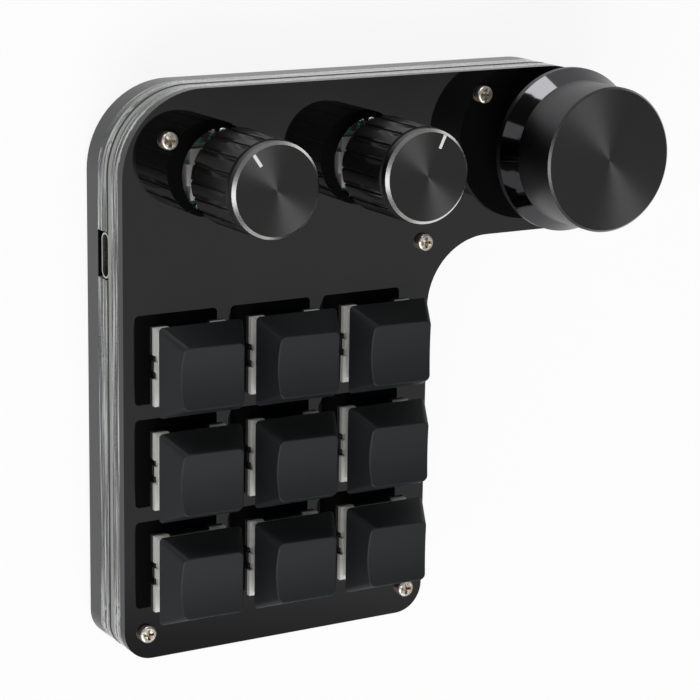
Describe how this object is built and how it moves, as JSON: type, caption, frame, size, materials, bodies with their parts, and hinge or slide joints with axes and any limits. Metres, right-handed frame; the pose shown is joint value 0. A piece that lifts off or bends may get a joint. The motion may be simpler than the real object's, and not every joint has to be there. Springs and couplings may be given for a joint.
{
  "type": "macro keypad",
  "caption": "Layered L-shaped desk keypad: sprung keys in a square grid, and dials along its arm that turn without end and press.",
  "frame": {"origin": "on the desk, under the middle of the overall size", "axes": "+Z out of the keys' faces, +X along the arm from the small dials to the large dial, +Y from the keys to the dials"},
  "size_m": [0.1136, 0.1138, 0.04],
  "materials": {
    "black_acrylic": "polished black acrylic, mirror-like",
    "clear_acrylic": "clear acrylic, laser-cut edges",
    "fibreglass": "black mask, pale fibreglass edge",
    "black_film": "thin black film",
    "nickel_screw": "nickel plated",
    "brass_insert": "plain brass",
    "black_rubber": "soft matte rubber",
    "stamped_steel": "bright stamped steel",
    "black_plastic": "plain moulded plastic",
    "chip_black": "moulded package",
    "small_parts": "small soldered parts",
    "white_housing": "milky white plastic",
    "stem_brown": "plain moulded plastic",
    "spring_steel": "drawn spring wire",
    "keycap_black": "fine matte texture",
    "teal_base": "teal moulded plastic",
    "rotor_plastic": "plain moulded plastic",
    "shaft_aluminium": "turned",
    "dial_plastic": "satin black plastic",
    "dial_cap_metal": "black turned face, bright cut rim",
    "pointer_white": "white paint fill",
    "black_anodised": "black anodised, polished cone, turned top"
  },
  "bodies": {
    "case": {"top_plate": "black_acrylic", "upper_frame": "clear_acrylic", "circuit_board": "fibreglass", "gasket": "black_film", "lower_frame": "clear_acrylic", "back_plate": "black_acrylic", "case_screws": "nickel_screw", "threaded_inserts": "brass_insert", "rubber_feet": "black_rubber", "usb_shell": "stamped_steel", "usb_tongue": "black_plastic", "controller_chip": "chip_black", "board_parts": "small_parts", "switch_bases": "white_housing", "switch_tops": "white_housing", "contacts": "stamped_steel", "encoder_bases": "teal_base", "encoder_frames": "stamped_steel", "push_domes": "stamped_steel", "spring_r1c1": "spring_steel", "spring_r1c2": "spring_steel", "spring_r1c3": "spring_steel", "spring_r2c1": "spring_steel", "spring_r2c2": "spring_steel", "spring_r2c3": "spring_steel", "spring_r3c1": "spring_steel", "spring_r3c2": "spring_steel", "spring_r3c3": "spring_steel"},
    "key_r1c1": {"keycap_r1c1": "keycap_black", "stem_r1c1": "stem_brown"},
    "key_r1c2": {"keycap_r1c2": "keycap_black", "stem_r1c2": "stem_brown"},
    "key_r1c3": {"keycap_r1c3": "keycap_black", "stem_r1c3": "stem_brown"},
    "key_r2c1": {"keycap_r2c1": "keycap_black", "stem_r2c1": "stem_brown"},
    "key_r2c2": {"keycap_r2c2": "keycap_black", "stem_r2c2": "stem_brown"},
    "key_r2c3": {"keycap_r2c3": "keycap_black", "stem_r2c3": "stem_brown"},
    "key_r3c1": {"keycap_r3c1": "keycap_black", "stem_r3c1": "stem_brown"},
    "key_r3c2": {"keycap_r3c2": "keycap_black", "stem_r3c2": "stem_brown"},
    "key_r3c3": {"keycap_r3c3": "keycap_black", "stem_r3c3": "stem_brown"},
    "rotor_1": {"wiper_rotor_1": "rotor_plastic"},
    "dial_1": {"encoder_shaft_1": "shaft_aluminium", "small_dial_1": "dial_plastic", "dial_cap_1": "dial_cap_metal", "pointer_1": "pointer_white"},
    "rotor_2": {"wiper_rotor_2": "rotor_plastic"},
    "dial_2": {"encoder_shaft_2": "shaft_aluminium", "small_dial_2": "dial_plastic", "dial_cap_2": "dial_cap_metal", "pointer_2": "pointer_white"},
    "rotor_3": {"wiper_rotor_3": "rotor_plastic"},
    "dial_3": {"encoder_shaft_3": "shaft_aluminium", "main_dial": "black_anodised", "main_dial_screw": "stamped_steel"}
  },
  "joints": [
    {"name": "key_r1c1_press", "type": "slide", "parent": "case", "child": "key_r1c1", "axis": [0, 0, -1], "range_m": [0, 0.0035], "stiffness_N_per_m": 100, "springref_m": -0.003, "deforming": ["spring_r1c1"]},
    {"name": "key_r1c2_press", "type": "slide", "parent": "case", "child": "key_r1c2", "axis": [0, 0, -1], "range_m": [0, 0.0035], "stiffness_N_per_m": 100, "springref_m": -0.003, "deforming": ["spring_r1c2"]},
    {"name": "key_r1c3_press", "type": "slide", "parent": "case", "child": "key_r1c3", "axis": [0, 0, -1], "range_m": [0, 0.0035], "stiffness_N_per_m": 100, "springref_m": -0.003, "deforming": ["spring_r1c3"]},
    {"name": "key_r2c1_press", "type": "slide", "parent": "case", "child": "key_r2c1", "axis": [0, 0, -1], "range_m": [0, 0.0035], "stiffness_N_per_m": 100, "springref_m": -0.003, "deforming": ["spring_r2c1"]},
    {"name": "key_r2c2_press", "type": "slide", "parent": "case", "child": "key_r2c2", "axis": [0, 0, -1], "range_m": [0, 0.0035], "stiffness_N_per_m": 100, "springref_m": -0.003, "deforming": ["spring_r2c2"]},
    {"name": "key_r2c3_press", "type": "slide", "parent": "case", "child": "key_r2c3", "axis": [0, 0, -1], "range_m": [0, 0.0035], "stiffness_N_per_m": 100, "springref_m": -0.003, "deforming": ["spring_r2c3"]},
    {"name": "key_r3c1_press", "type": "slide", "parent": "case", "child": "key_r3c1", "axis": [0, 0, -1], "range_m": [0, 0.0035], "stiffness_N_per_m": 100, "springref_m": -0.003, "deforming": ["spring_r3c1"]},
    {"name": "key_r3c2_press", "type": "slide", "parent": "case", "child": "key_r3c2", "axis": [0, 0, -1], "range_m": [0, 0.0035], "stiffness_N_per_m": 100, "springref_m": -0.003, "deforming": ["spring_r3c2"]},
    {"name": "key_r3c3_press", "type": "slide", "parent": "case", "child": "key_r3c3", "axis": [0, 0, -1], "range_m": [0, 0.0035], "stiffness_N_per_m": 100, "springref_m": -0.003, "deforming": ["spring_r3c3"]},
    {"name": "dial_1_turn", "type": "hinge", "parent": "case", "child": "rotor_1", "pos_m": [-0.0353, 0.03957, 0.0176], "axis": [0, 0, 1], "continuous": true},
    {"name": "dial_1_press", "type": "slide", "parent": "rotor_1", "child": "dial_1", "axis": [0, 0, -1], "range_m": [0, 0.0005], "stiffness_N_per_m": 4000, "springref_m": -0.0005},
    {"name": "dial_2_turn", "type": "hinge", "parent": "case", "child": "rotor_2", "pos_m": [-0.0018, 0.03957, 0.0176], "axis": [0, 0, 1], "continuous": true},
    {"name": "dial_2_press", "type": "slide", "parent": "rotor_2", "child": "dial_2", "axis": [0, 0, -1], "range_m": [0, 0.0005], "stiffness_N_per_m": 4000, "springref_m": -0.0005},
    {"name": "dial_3_turn", "type": "hinge", "parent": "case", "child": "rotor_3", "pos_m": [0.0398, 0.04007, 0.0176], "axis": [0, 0, 1], "continuous": true},
    {"name": "dial_3_press", "type": "slide", "parent": "rotor_3", "child": "dial_3", "axis": [0, 0, -1], "range_m": [0, 0.0005], "stiffness_N_per_m": 4000, "springref_m": -0.0005}
  ]
}
